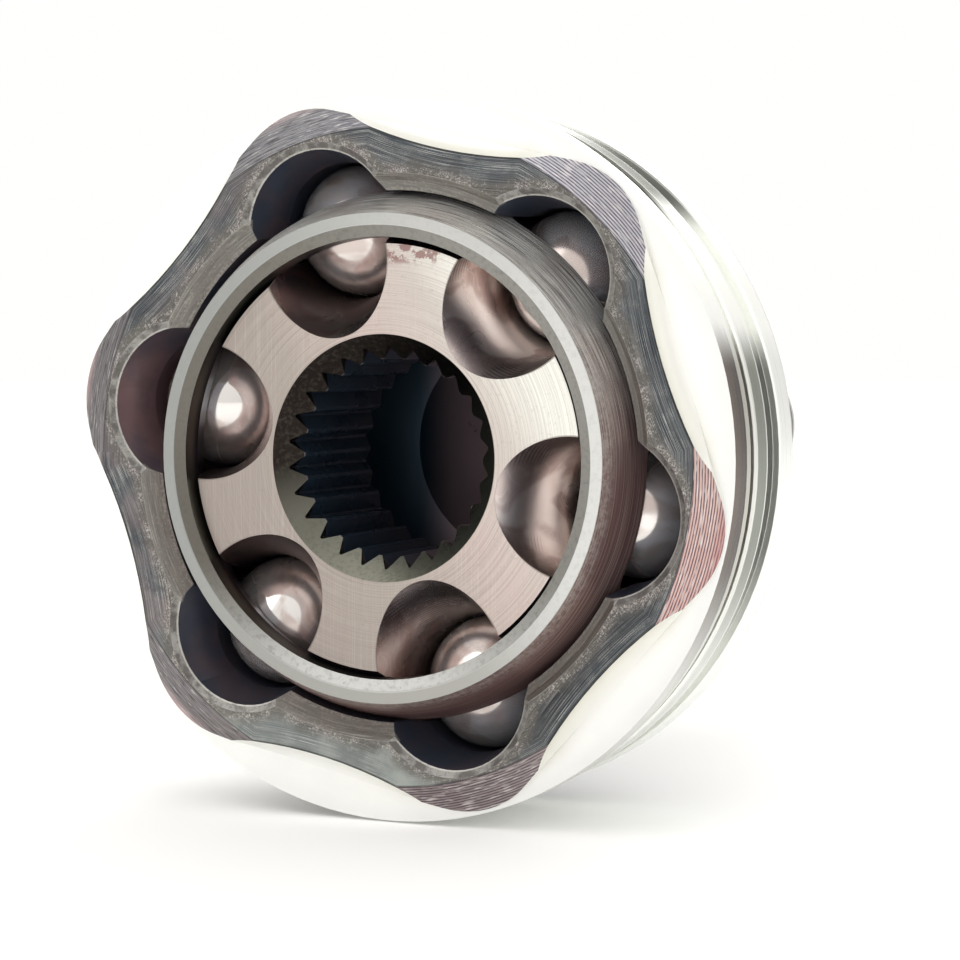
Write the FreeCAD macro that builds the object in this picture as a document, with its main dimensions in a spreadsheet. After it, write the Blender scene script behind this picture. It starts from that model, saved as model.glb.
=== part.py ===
import FreeCAD
import Part
import Sketcher
import math
import os

# Six-ball fixed constant-velocity joint, outboard side of a front-wheel drive shaft, millimetres.
# Pieces: outer race (bell and stub shaft, one forging), ball cage, inner race and six balls.
# The joint centre is the origin. The axis lies along Y: the mouth faces -Y, the stub shaft runs to +Y.
# Each body is drawn about its own Z axis with the mouth upwards, and its Placement turns it over.

BALLS = 6
SHAFT_TEETH = 26
STUB_TEETH = 27

doc = FreeCAD.newDocument("cv_joint")
sheet = doc.addObject("Spreadsheet::Sheet", "Sizes")


class Size:
    """A value from the sheet together with the expression that leads to it."""

    def __init__(self, text, value):
        self.text = text
        self.value = value

    def _with(self, other, sign, result):
        text = other.text if isinstance(other, Size) else repr(float(other))
        return Size("(%s %s %s)" % (self.text, sign, text), result)

    def __add__(self, other):
        return self._with(other, "+", self.value + number(other))

    def __sub__(self, other):
        return self._with(other, "-", self.value - number(other))

    def __mul__(self, other):
        return self._with(other, "*", self.value * number(other))

    def __truediv__(self, other):
        return self._with(other, "/", self.value / number(other))

    def __neg__(self):
        return self * -1


def number(item):
    return item.value if isinstance(item, Size) else float(item)


def root(size):
    return Size("sqrt(%s)" % size.text, math.sqrt(size.value))


def turned(size):
    """Cosine and sine of an angle in degrees."""
    angle = math.radians(size.value)
    return Size("cos(%s)" % size.text, math.cos(angle)), Size("sin(%s)" % size.text, math.sin(angle))


def cell(alias, value, meaning):
    """Put one driving dimension in the sheet, with its name and its meaning beside it."""
    cell.row += 1
    place = "B%d" % cell.row
    sheet.set("A%d" % cell.row, alias)
    sheet.set(place, str(value))
    sheet.setAlias(place, alias)
    sheet.set("C%d" % cell.row, meaning)
    return Size("Sizes." + alias, float(value))


cell.row = 0

# Balls and tracks
ball_diameter = cell("ball_diameter", 16.669, "21/32 inch bearing ball")
ball_sink_depth = cell("ball_sink_depth", 3.9, "outer sphere of the cage to the ball centres")
track_offset_width = cell("track_offset_width", 0.6, "track arc centre to joint centre, outer race forward")
track_clearance = cell("track_clearance", 0.22, "track groove radius over ball radius")
track_phase_angle = cell("track_phase_angle", 47.7, "first track, from +X towards +Z, degrees")
outer_sweep_angle = cell("outer_sweep_angle", 76, "arc of the outer race's tracks, degrees")
inner_sweep_angle = cell("inner_sweep_angle", 100, "arc of the inner race's tracks, degrees")

# Ball cage, the sphere that the joint is built round. A share is a part of the sphere's radius.
cage_radius = cell("cage_radius", 33.6, "outer sphere")
cage_wall_thickness = cell("cage_wall_thickness", 4.1, "outer sphere to inner sphere")
cage_front_share = cell("cage_front_share", 0.467, "front face, of the outer sphere")
cage_back_share = cell("cage_back_share", 0.417, "back face, of the outer sphere")
cage_bore_share = cell("cage_bore_share", 0.91, "front bore that lets the inner race in, of the inner sphere")
cage_face_width = cell("cage_face_width", 1.35, "flat of the front face")
cage_chamfer_depth = cell("cage_chamfer_depth", 0.6, "chamfer inside the front face")
window_clearance = cell("window_clearance", 0.15, "window side to ball")
window_travel_width = cell("window_travel_width", 1.5, "window end to ball")
window_corner_radius = cell("window_corner_radius", 3.0, "window corner")

# Running fits
sphere_clearance = cell("sphere_clearance", 0.05, "radial clearance of the sphere fits")

# Inner race. The faces are shares of its sphere's radius.
race_front_share = cell("race_front_share", 0.465, "front face")
race_back_share = cell("race_back_share", 0.333, "back face")
hub_wall_thickness = cell("hub_wall_thickness", 7.5, "spline root to track floor")
shaft_tooth_depth = cell("shaft_tooth_depth", 1.5, "root to tip of the shaft spline")
shaft_gap_share = cell("shaft_gap_share", 0.82, "tooth gap at the tip, of the tooth pitch")
shaft_floor_width = cell("shaft_floor_width", 0.3, "tooth gap at the root of the shaft spline")
bore_chamfer_depth = cell("bore_chamfer_depth", 2.95, "chamfer of the bore, both faces, over the tip")

# Outer race, mouth and nose
mouth_share = cell("mouth_share", 0.969, "mouth bore, of the socket sphere")
mouth_chamfer_width = cell("mouth_chamfer_width", 2.0, "chamfer of the mouth, 45 degrees")
nose_setback_depth = cell("nose_setback_depth", 2.3, "cage front face to nose front plane")
entry_margin_width = cell("entry_margin_width", 1.52, "ball to wall of the track's entry pocket")
entry_depth = cell("entry_depth", 9.5, "depth over which the entry pocket fades into the track")
entry_inset_depth = cell("entry_inset_depth", 0.4, "entry pocket centre to ball centre, towards the axis")
entry_taper_angle = cell("entry_taper_angle", 8.5, "taper of the entry pocket, degrees")
edge_break_width = cell("edge_break_width", 0.75, "edge break round the entry pocket, beyond its wall")
edge_break_depth = cell("edge_break_depth", 0.6, "edge break round the entry pocket")
edge_break_angle = cell("edge_break_angle", 56.0, "slope of that edge break, degrees")
crest_land_width = cell("crest_land_width", 7.6, "mouth bore to the foot of the crest chamfer")
bell_wall_thickness = cell("bell_wall_thickness", 11.05, "socket sphere to shoulder")
shoulder_drop_depth = cell("shoulder_drop_depth", 1.6, "nose front plane to shoulder")
lobe_inset_width = cell("lobe_inset_width", 0.4, "shoulder edge to the top of a nose lobe")
lobe_radius = cell("lobe_radius", 11.4, "outline radius of a nose lobe")
flute_land_width = cell("flute_land_width", 5.4, "mouth bore to the nose edge in a flute")
flute_fillet_radius = cell("flute_fillet_radius", 2.0, "hollow at the foot of the nose in a flute")

# Outer race, boot seat
seat_front_width = cell("seat_front_width", 4.3, "front land")
seat_step_depth = cell("seat_step_depth", 0.5, "front land down to the second land")
seat_second_width = cell("seat_second_width", 2.8, "second land")
bead_groove_width = cell("bead_groove_width", 1.6, "boot bead groove")
bead_groove_depth = cell("bead_groove_depth", 0.8, "boot bead groove")
seat_middle_width = cell("seat_middle_width", 4.6, "middle land")
clamp_groove_width = cell("clamp_groove_width", 4.7, "clamp groove")
clamp_groove_depth = cell("clamp_groove_depth", 1.0, "clamp groove")
seat_back_width = cell("seat_back_width", 4.6, "back land")
land_chamfer_width = cell("land_chamfer_width", 0.25, "edges of the lands")

# Outer race, cavity, bell and stub shaft
cavity_share = cell("cavity_share", 0.75, "depth of the spherical cavity, of the socket sphere")
bowl_share = cell("bowl_share", 0.446, "radius of the grease bowl's floor, of the socket sphere")
bowl_depth = cell("bowl_depth", 2.0, "end of the spherical cavity to the bowl's floor")
bell_step_width = cell("bell_step_width", 0.3, "shoulder radius up to the bell's outer sphere")
collar_step_width = cell("collar_step_width", 9.0, "journal up to the bearing collar")
collar_height = cell("collar_height", 3.95, "bell's outer sphere to the collar's bearing face")
collar_chamfer_width = cell("collar_chamfer_width", 1.0, "edge of the collar")
journal_radius = cell("journal_radius", 15.0, "hub journal")
journal_length = cell("journal_length", 9.0, "hub journal")
journal_step_depth = cell("journal_step_depth", 1.0, "journal down to the tip of the stub spline")
journal_chamfer_width = cell("journal_chamfer_width", 0.6, "end of the journal")
stub_tooth_depth = cell("stub_tooth_depth", 1.1, "tip to root of the stub spline")
stub_gap_share = cell("stub_gap_share", 0.54, "tooth gap at the tip, of the tooth pitch")
stub_floor_width = cell("stub_floor_width", 0.7, "tooth gap at the root of the stub spline")
stub_length = cell("stub_length", 38.0, "splined length of the stub shaft")
thread_step_depth = cell("thread_step_depth", 0.9, "root of the stub spline down to the axle thread, M24")
thread_relief_depth = cell("thread_relief_depth", 1.2, "relief before the thread")
thread_relief_width = cell("thread_relief_width", 3.0, "relief before the thread")
thread_length = cell("thread_length", 20.0, "threaded length")
end_chamfer_width = cell("end_chamfer_width", 1.5, "chamfer at the end of the thread")
centre_hole_radius = cell("centre_hole_radius", 3.2, "centre hole in the shaft end")
centre_hole_depth = cell("centre_hole_depth", 5.5, "centre hole in the shaft end")
overshoot_length = cell("overshoot_length", 2.0, "how far a cutting tool stands out of the metal")

doc.recompute()

ball_radius = ball_diameter / 2
pitch_radius = cage_radius - ball_sink_depth
track_tube = ball_radius + track_clearance
track_radius = root(pitch_radius * pitch_radius + track_offset_width * track_offset_width)
cage_inner = cage_radius - cage_wall_thickness
cage_front = cage_radius * cage_front_share
cage_back = cage_radius * cage_back_share
socket_radius = cage_radius + sphere_clearance
mouth_radius = socket_radius * mouth_share
rim_front = cage_front - nose_setback_depth
shoulder = rim_front - shoulder_drop_depth
shoulder_radius = socket_radius + bell_wall_thickness
flute_floor = mouth_radius + flute_land_width
lobe_reach = shoulder_radius - lobe_inset_width - lobe_radius
half_step = 180 / BALLS
half_cosine = math.cos(math.radians(half_step))
half_sine = math.sin(math.radians(half_step))
turn_over = FreeCAD.Rotation(FreeCAD.Vector(1, 0, 0), 90)
to_first_track = FreeCAD.Rotation(FreeCAD.Vector(0, 0, 1), track_phase_angle.value)


def origin_part(body, role):
    for feature in body.Origin.OriginFeatures:
        if feature.Role == role:
            return feature
    raise ValueError(role)


def new_body(label):
    body = doc.addObject("PartDesign::Body", label)
    body.Label = label
    body.Placement = FreeCAD.Placement(FreeCAD.Vector(0, 0, 0), turn_over * to_first_track)
    return body


def new_sketch(body, name, role, lift=None):
    """Sketch on one of the body's own origin planes, lifted along the plane's normal."""
    sketch = body.newObject("Sketcher::SketchObject", name)
    sketch.AttachmentSupport = (origin_part(body, role), "")
    sketch.MapMode = "FlatFace"
    if lift is not None:
        sketch.setExpression("AttachmentOffset.Base.z", lift.text)
    return sketch


def pin(sketch, kind, size, *places):
    """A dimension in a sketch, tied to its size where the size comes from the sheet."""
    index = sketch.addConstraint(Sketcher.Constraint(kind, *places, number(size)))
    if isinstance(size, Size):
        sketch.setExpression("Constraints[%d]" % index, size.text)


def pin_point(sketch, geometry, vertex, x_size, y_size):
    """Tie a vertex to its distances from the sketch origin, either of which may be left out."""
    if x_size is not None:
        pin(sketch, "DistanceX", x_size, -1, 1, geometry, vertex)
    if y_size is not None:
        pin(sketch, "DistanceY", y_size, -1, 1, geometry, vertex)


def point(x, y):
    return FreeCAD.Vector(number(x), number(y), 0)


def add_line(sketch, start, end):
    sketch.addGeometry(Part.LineSegment(start, end), False)


def add_arc(sketch, centre, radius, first, last):
    """Arc between two directions, in degrees, anticlockwise."""
    circle = Part.Circle(centre, FreeCAD.Vector(0, 0, 1), number(radius))
    sketch.addGeometry(Part.ArcOfCircle(circle, math.radians(first), math.radians(last)), False)


def join(sketch, kind, *ends):
    """Join edges end to end: each entry is (edge, vertex, edge, vertex)."""
    for end in ends:
        sketch.addConstraint(Sketcher.Constraint(kind, *end))


def outline(sketch, corners):
    """Closed outline through corners (radius, height). A third value makes the edge that leaves the
    corner an arc of that radius about the joint centre."""
    count = len(corners)
    places = [point(corner[0], corner[1]) for corner in corners]
    arcs = [corner[2] if len(corner) == 3 else None for corner in corners]
    falls = [places[(edge + 1) % count].y < places[edge].y for edge in range(count)]
    starts = [2 if arcs[edge] and falls[edge] else 1 for edge in range(count)]
    ends = [3 - start for start in starts]
    for edge in range(count):
        start = places[edge]
        end = places[(edge + 1) % count]
        if arcs[edge]:
            first = math.degrees(math.atan2(start.y, start.x))
            last = math.degrees(math.atan2(end.y, end.x))
            add_arc(sketch, point(0, 0), arcs[edge], min(first, last), max(first, last))
        else:
            add_line(sketch, start, end)
    for edge in range(count):
        after = (edge + 1) % count
        join(sketch, "Coincident", (edge, ends[edge], after, starts[after]))
    for edge, corner in enumerate(corners):
        if arcs[edge]:
            pin_point(sketch, edge, 3, 0, 0)
            pin(sketch, "Radius", arcs[edge], edge)
        on_arc = arcs[edge] or arcs[edge - 1]
        pin_point(sketch, edge, starts[edge], None if on_arc else corner[0], corner[1])


def circle_at(sketch, reach, radius):
    """Circle on the sketch's X axis."""
    sketch.addGeometry(Part.Circle(point(reach, 0), FreeCAD.Vector(0, 0, 1), number(radius)), False)
    pin(sketch, "Radius", radius, 0)
    pin(sketch, "DistanceX", reach, -1, 1, 0, 3)
    sketch.addConstraint(Sketcher.Constraint("PointOnObject", 0, 3, -1))


def revolve(body, name, corners):
    sketch = new_sketch(body, name + "_outline", "XZ_Plane")
    outline(sketch, corners)
    turned_solid = body.newObject("PartDesign::Revolution", name)
    turned_solid.Profile = sketch
    turned_solid.ReferenceAxis = (sketch, ["V_Axis"])
    turned_solid.Angle = 360
    doc.recompute()
    return turned_solid


def cut(body, kind, name, sketch, **settings):
    """Add a cutting feature and make sure that it takes material away."""
    before = body.Shape.Volume
    feature = body.newObject("PartDesign::" + kind, name)
    feature.Profile = sketch
    for key, setting in settings.items():
        if isinstance(setting, Size):
            feature.setExpression(key, setting.text)
        else:
            setattr(feature, key, setting)
    doc.recompute()
    if body.Shape.Volume >= before:
        raise RuntimeError(name + " cuts nothing")
    return feature


def around(body, name, features, count):
    pattern = body.newObject("PartDesign::PolarPattern", name)
    pattern.Originals = features
    pattern.Axis = (origin_part(body, "Z_Axis"), [""])
    pattern.Angle = 360
    pattern.Occurrences = count
    body.Tip = pattern
    doc.recompute()
    return pattern


def cut_tracks(body, name, centre_height, sweep):
    """Ball track: a round groove along an arc in the track's own plane through the axis."""
    sketch = new_sketch(body, name + "_section", "XY_Plane", centre_height)
    circle_at(sketch, track_radius, track_tube)
    return cut(body, "Groove", name, sketch, ReferenceAxis=(sketch, ["V_Axis"]),
               Midplane=True, Angle=sweep)


def tooth_gap(body, name, tip, floor, teeth, share, floor_width, front, length):
    """Straight-sided spline gap on the first tooth line. Its flanks run on past the tooth tips."""
    floor_half = floor_width / 2
    tip_half = tip * share * math.tan(math.pi / teeth)
    over = tip + (tip - floor) / 2
    over_half = tip_half + (tip_half - floor_half) / 2
    sketch = new_sketch(body, name + "_section", "XY_Plane", front)
    outline(sketch, [(over, -over_half), (floor, -floor_half), (floor, floor_half), (over, over_half)])
    return cut(body, "Pocket", name, sketch, Length=length)


# Outer race

outer_race = new_body("outer_race")
seat_radius = shoulder_radius - seat_step_depth
seat_edge = seat_radius - land_chamfer_width
bead_floor = seat_radius - bead_groove_depth
clamp_floor = seat_radius - clamp_groove_depth
bell_radius = shoulder_radius + bell_step_width
front_land_end = shoulder - seat_front_width
second_land_end = front_land_end - seat_second_width
bead_end = second_land_end - bead_groove_width
middle_end = bead_end - seat_middle_width
clamp_end = middle_end - clamp_groove_width
seat_end = clamp_end - seat_back_width
bell_start = root(bell_radius * bell_radius - seat_end * seat_end)
cavity_depth = socket_radius * cavity_share
bowl_floor = cavity_depth + bowl_depth
bowl_radius = socket_radius * bowl_share
socket_top = root(socket_radius * socket_radius - mouth_radius * mouth_radius)
socket_floor = root(socket_radius * socket_radius - cavity_depth * cavity_depth)
collar_radius = journal_radius + collar_step_width
collar_front = root(bell_radius * bell_radius - collar_radius * collar_radius)
collar_back = collar_front + collar_height
journal_end = collar_back + journal_length
spline_end = journal_end + stub_length
relief_end = spline_end + thread_relief_width
shaft_end = relief_end + thread_length
stub_tip = journal_radius - journal_step_depth
stub_root = stub_tip - stub_tooth_depth
thread_radius = stub_root - thread_step_depth
relief_floor = thread_radius - thread_relief_depth

revolve(outer_race, "bell", [
    (mouth_radius, rim_front - mouth_chamfer_width),
    (mouth_radius + mouth_chamfer_width, rim_front),
    (mouth_radius + crest_land_width, rim_front),
    (shoulder_radius, shoulder),
    (shoulder_radius, front_land_end + land_chamfer_width),
    (shoulder_radius - land_chamfer_width, front_land_end),
    (seat_radius, front_land_end),
    (seat_radius, second_land_end + land_chamfer_width),
    (seat_edge, second_land_end),
    (bead_floor, second_land_end),
    (bead_floor, bead_end),
    (seat_edge, bead_end),
    (seat_radius, bead_end - land_chamfer_width),
    (seat_radius, middle_end + land_chamfer_width),
    (seat_edge, middle_end),
    (clamp_floor, middle_end),
    (clamp_floor, clamp_end),
    (seat_edge, clamp_end),
    (seat_radius, clamp_end - land_chamfer_width),
    (seat_radius, seat_end),
    (bell_start, seat_end, bell_radius),
    (collar_radius, -collar_front),
    (collar_radius, collar_chamfer_width - collar_back),
    (collar_radius - collar_chamfer_width, -collar_back),
    (journal_radius, -collar_back),
    (journal_radius, journal_chamfer_width - journal_end),
    (journal_radius - journal_chamfer_width, -journal_end),
    (stub_tip, -journal_end),
    (stub_tip, -spline_end),
    (relief_floor, -spline_end),
    (relief_floor, -relief_end),
    (thread_radius, -relief_end),
    (thread_radius, end_chamfer_width - shaft_end),
    (thread_radius - end_chamfer_width, -shaft_end),
    (centre_hole_radius, -shaft_end),
    (0, centre_hole_depth - shaft_end),
    (0, -bowl_floor),
    (bowl_radius, -bowl_floor),
    (socket_floor, -cavity_depth, socket_radius),
    (mouth_radius, socket_top),
])

cut_tracks(outer_race, "track", track_offset_width, outer_sweep_angle)

entry_centre = pitch_radius - entry_inset_depth
entry_radius = ball_radius + entry_margin_width
entry_sketch = new_sketch(outer_race, "track_entry_section", "XY_Plane", rim_front)
circle_at(entry_sketch, entry_centre, entry_radius)
cut(outer_race, "Pocket", "track_entry", entry_sketch, Length=entry_depth, TaperAngle=-entry_taper_angle)
break_sketch = new_sketch(outer_race, "edge_break_section", "XY_Plane", rim_front)
circle_at(break_sketch, entry_centre, entry_radius + edge_break_width)
cut(outer_race, "Pocket", "edge_break", break_sketch, Length=edge_break_depth, TaperAngle=-edge_break_angle)
around(outer_race, "tracks", [doc.track, doc.track_entry, doc.edge_break], BALLS)


def flank_section(body):
    """What the nose loses between two lobes down to straight flanks: a sixth of a ring, open outside."""
    outside = shoulder_radius + overshoot_length
    lobe_peak = lobe_reach + lobe_radius
    turn = 2 * half_step
    sketch = new_sketch(body, "flank_section", "XY_Plane", rim_front)
    near_lobe = point(lobe_reach, 0)
    far_lobe = point(lobe_reach * math.cos(math.radians(turn)), lobe_reach * math.sin(math.radians(turn)))
    flank = point(lobe_radius * half_cosine, lobe_radius * half_sine)
    outward = point(math.cos(math.radians(turn)), math.sin(math.radians(turn)))
    add_arc(sketch, near_lobe, lobe_radius, 0, half_step)
    add_line(sketch, near_lobe + flank, far_lobe + flank)
    add_arc(sketch, far_lobe, lobe_radius, half_step, turn)
    add_line(sketch, outward * lobe_peak.value, outward * outside.value)
    add_arc(sketch, point(0, 0), outside, 0, turn)
    add_line(sketch, point(outside, 0), point(lobe_peak, 0))
    join(sketch, "Tangent", (0, 2, 1, 1), (1, 2, 2, 1))
    join(sketch, "Coincident", (2, 2, 3, 1), (3, 2, 4, 2), (4, 1, 5, 1), (5, 2, 0, 1))
    pin(sketch, "Radius", lobe_radius, 0)
    pin(sketch, "Radius", lobe_radius, 2)
    pin(sketch, "Radius", outside, 4)
    pin_point(sketch, 0, 3, lobe_reach, 0)
    pin_point(sketch, 2, 3, lobe_reach * outward.x, lobe_reach * outward.y)
    pin_point(sketch, 4, 3, 0, 0)
    pin_point(sketch, 0, 1, None, 0)
    pin_point(sketch, 4, 1, None, 0)
    pin_point(sketch, 3, 1, lobe_peak * outward.x, None)
    pin_point(sketch, 3, 2, outside * outward.x, None)
    return sketch


def flute_section(body):
    """Section of a flute, swung about the upright line of the arc that touches both lobes."""
    spread = lobe_reach * lobe_reach + flute_floor * flute_floor - lobe_radius * lobe_radius
    across = lobe_reach * half_cosine
    flute_radius = (spread / 2 - flute_floor * across) / (lobe_radius + across - flute_floor)
    swing_axis = flute_floor + flute_radius
    foot = flute_floor + flute_fillet_radius
    wall_foot = shoulder + flute_fillet_radius
    top = rim_front + overshoot_length
    sketch = new_sketch(body, "flute_section", "XZ_Plane")
    sketch.AttachmentOffset = FreeCAD.Placement(
        FreeCAD.Vector(0, 0, 0), FreeCAD.Rotation(FreeCAD.Vector(0, 1, 0), half_step))
    add_line(sketch, point(flute_floor, top), point(flute_floor, wall_foot))
    add_arc(sketch, point(foot, wall_foot), flute_fillet_radius, 180, 270)
    add_line(sketch, point(foot, shoulder), point(swing_axis, shoulder))
    add_line(sketch, point(swing_axis, shoulder), point(swing_axis, top))
    add_line(sketch, point(swing_axis, top), point(flute_floor, top))
    sketch.addGeometry(Part.LineSegment(point(swing_axis, shoulder), point(swing_axis, top)), True)
    join(sketch, "Tangent", (0, 2, 1, 1), (1, 2, 2, 1))
    join(sketch, "Coincident", (2, 2, 3, 1), (3, 2, 4, 1), (4, 2, 0, 1), (5, 1, 3, 1), (5, 2, 3, 2))
    pin(sketch, "Radius", flute_fillet_radius, 1)
    pin_point(sketch, 0, 1, flute_floor, top)
    pin_point(sketch, 1, 3, None, wall_foot)
    pin_point(sketch, 0, 2, flute_floor, None)
    pin_point(sketch, 3, 1, swing_axis, shoulder)
    pin_point(sketch, 3, 2, swing_axis, top)
    return sketch


cut(outer_race, "Pocket", "flank", flank_section(outer_race), Length=shoulder_drop_depth)
flute_sketch = flute_section(outer_race)
cut(outer_race, "Groove", "flute", flute_sketch, ReferenceAxis=(flute_sketch, ["Axis0"]), Angle=360)
around(outer_race, "flutes", [doc.flank, doc.flute], BALLS)

tooth_gap(outer_race, "stub_gap", stub_tip, stub_root, STUB_TEETH, stub_gap_share,
          stub_floor_width, -journal_end, stub_length)
around(outer_race, "stub_spline", [doc.stub_gap], STUB_TEETH)

# Ball cage

cage = new_body("ball_cage")
cage_bore = cage_inner * cage_bore_share
cage_front_rim = root(cage_radius * cage_radius - cage_front * cage_front)
cage_back_rim = root(cage_radius * cage_radius - cage_back * cage_back)
cage_bore_end = root(cage_inner * cage_inner - cage_bore * cage_bore)
cage_back_bore = root(cage_inner * cage_inner - cage_back * cage_back)
revolve(cage, "cage_ring", [
    (cage_bore, cage_front - cage_chamfer_depth),
    (cage_front_rim - cage_face_width, cage_front),
    (cage_front_rim, cage_front, cage_radius),
    (cage_back_rim, -cage_back),
    (cage_back_bore, -cage_back, cage_inner),
    (cage_bore, cage_bore_end),
])


def window_section(body):
    """Ball window: a slot with rounded corners, seen from outside the cage."""
    inner_length = ball_radius + window_travel_width - window_corner_radius
    inner_width = ball_radius + window_clearance - window_corner_radius
    sketch = new_sketch(body, "window_section", "YZ_Plane", cage_radius + overshoot_length)
    corners = [(inner_length, inner_width), (-inner_length, inner_width),
               (-inner_length, -inner_width), (inner_length, -inner_width)]
    for quarter, (across, up) in enumerate(corners):
        add_arc(sketch, point(across, up), window_corner_radius, quarter * 90, (quarter + 1) * 90)
    for quarter in range(4):
        start = sketch.Geometry[quarter].EndPoint
        end = sketch.Geometry[(quarter + 1) % 4].StartPoint
        add_line(sketch, start, end)
    for quarter, (across, up) in enumerate(corners):
        side = 4 + quarter
        join(sketch, "Tangent", (quarter, 2, side, 1), (side, 2, (quarter + 1) % 4, 1))
        pin_point(sketch, quarter, 3, across, up)
    pin(sketch, "Radius", window_corner_radius, 0)
    return sketch


cut(cage, "Pocket", "window", window_section(cage), Length=(cage_wall_thickness + overshoot_length) * 2)
around(cage, "windows", [doc.window], BALLS)

# Inner race

inner_race = new_body("inner_race")
race_radius = cage_inner - sphere_clearance
race_front = race_radius * race_front_share
race_back = race_radius * race_back_share
shaft_root = pitch_radius - track_tube - hub_wall_thickness
shaft_tip = shaft_root - shaft_tooth_depth
bore_mouth = shaft_tip + bore_chamfer_depth
revolve(inner_race, "race", [
    (shaft_tip, race_front - bore_chamfer_depth),
    (bore_mouth, race_front),
    (root(race_radius * race_radius - race_front * race_front), race_front, race_radius),
    (root(race_radius * race_radius - race_back * race_back), -race_back),
    (bore_mouth, -race_back),
    (shaft_tip, bore_chamfer_depth - race_back),
])
cut_tracks(inner_race, "race_track", -track_offset_width, inner_sweep_angle)
around(inner_race, "race_tracks", [doc.race_track], BALLS)
tooth_gap(inner_race, "shaft_gap", shaft_tip, shaft_root, SHAFT_TEETH, shaft_gap_share,
          shaft_floor_width, race_front, race_front + race_back)
around(inner_race, "shaft_spline", [doc.shaft_gap], SHAFT_TEETH)

# Balls

for step in range(BALLS):
    ball = doc.addObject("Part::Sphere", "ball_%d" % (step + 1))
    ball.Label = ball.Name
    ball.setExpression("Radius", ball_radius.text)
    cosine, sine = turned(track_phase_angle + step * 2 * half_step)
    ball.setExpression("Placement.Base.x", (pitch_radius * cosine).text)
    ball.setExpression("Placement.Base.z", (pitch_radius * sine).text)

doc.recompute()

# Check every object, then write each piece under its own name

for item in doc.Objects:
    if "Invalid" in item.State or "Error" in item.State:
        raise RuntimeError(item.Name + " failed")

os.makedirs("parts", exist_ok=True)
for item in doc.Objects:
    if item.TypeId not in ("PartDesign::Body", "Part::Sphere"):
        continue
    shape = item.Shape
    if shape.isNull() or not shape.isValid() or len(shape.Solids) != 1:
        raise RuntimeError(item.Label + " is not one sound solid")
    shape.exportStep("parts/%s.step" % item.Label)
    print(item.Label, round(shape.Volume), shape.BoundBox)
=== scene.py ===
"""Looks of a six-ball constant velocity joint: machined and forged steel, polished balls, a pale studio.

Sizes are in metres, and places within a finish in millimetres, in the frame of the solids: the joint centre
is the origin, the mouth faces -Y and the stub shaft runs to +Y.
"""

import math

import bpy
from mathutils import Matrix, Vector


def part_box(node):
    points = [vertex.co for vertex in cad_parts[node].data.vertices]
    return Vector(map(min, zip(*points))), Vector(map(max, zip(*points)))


bl_info = {
    "name": "Constant Velocity Joint Looks",
    "version": (1, 0, 0),
    "blender": (4, 5, 0),
    "location": "View3D > Sidebar > CV Joint",
    "description": "Finishes the solids of a fixed ball joint and sets them in a studio",
    "category": "Object",
}

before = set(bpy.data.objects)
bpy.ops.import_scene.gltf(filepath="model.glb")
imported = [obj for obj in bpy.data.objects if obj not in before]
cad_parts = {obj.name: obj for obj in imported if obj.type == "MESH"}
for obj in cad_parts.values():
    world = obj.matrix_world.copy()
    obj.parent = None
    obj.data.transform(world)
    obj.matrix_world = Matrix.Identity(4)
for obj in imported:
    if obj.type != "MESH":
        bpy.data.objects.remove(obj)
MM = 1000.0
LOBES = 6

race_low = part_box("outer_race")[0]
cage_low, cage_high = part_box("ball_cage")
hub_low, hub_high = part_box("inner_race")

# Bands of the boot seat: where each starts behind the shoulder, how soft its edge is (mm), and its colour.
# The narrow light bands at 8.5 and 12.7 mm are painted highlights of light caught on chamfered edges
SEAT_BANDS = (
    (4.3, 0.05, (0.46, 0.45, 0.40)),
    (7.1, 0.05, (0.09, 0.085, 0.075)),
    # painted highlight on a chamfered edge, as is the band at 12.7 mm
    (8.5, 0.05, (0.70, 0.70, 0.66)),
    (9.5, 0.15, (0.20, 0.215, 0.18)),
    (12.7, 0.1, (0.70, 0.70, 0.66)),
    (13.3, 0.05, (0.065, 0.07, 0.058)),
    (17.9, 0.05, (0.86, 0.87, 0.84)))
SEAT_BANDS_START = 6.9
SEAT_BANDS_END = 18.2

# Soft lights round the joint, each turned to its centre: name, place (m), power (W) and side (m)
LIGHTS = (
    ("key_light", (-0.45, -0.75, 0.75), 2.1, 0.8),
    ("fill_light", (0.9, -0.2, 0.35), 1.0, 1.0),
    ("top_light", (0.0, 0.75, 0.75), 3.2, 0.7))
FLOOR_SIDES = 64


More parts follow.
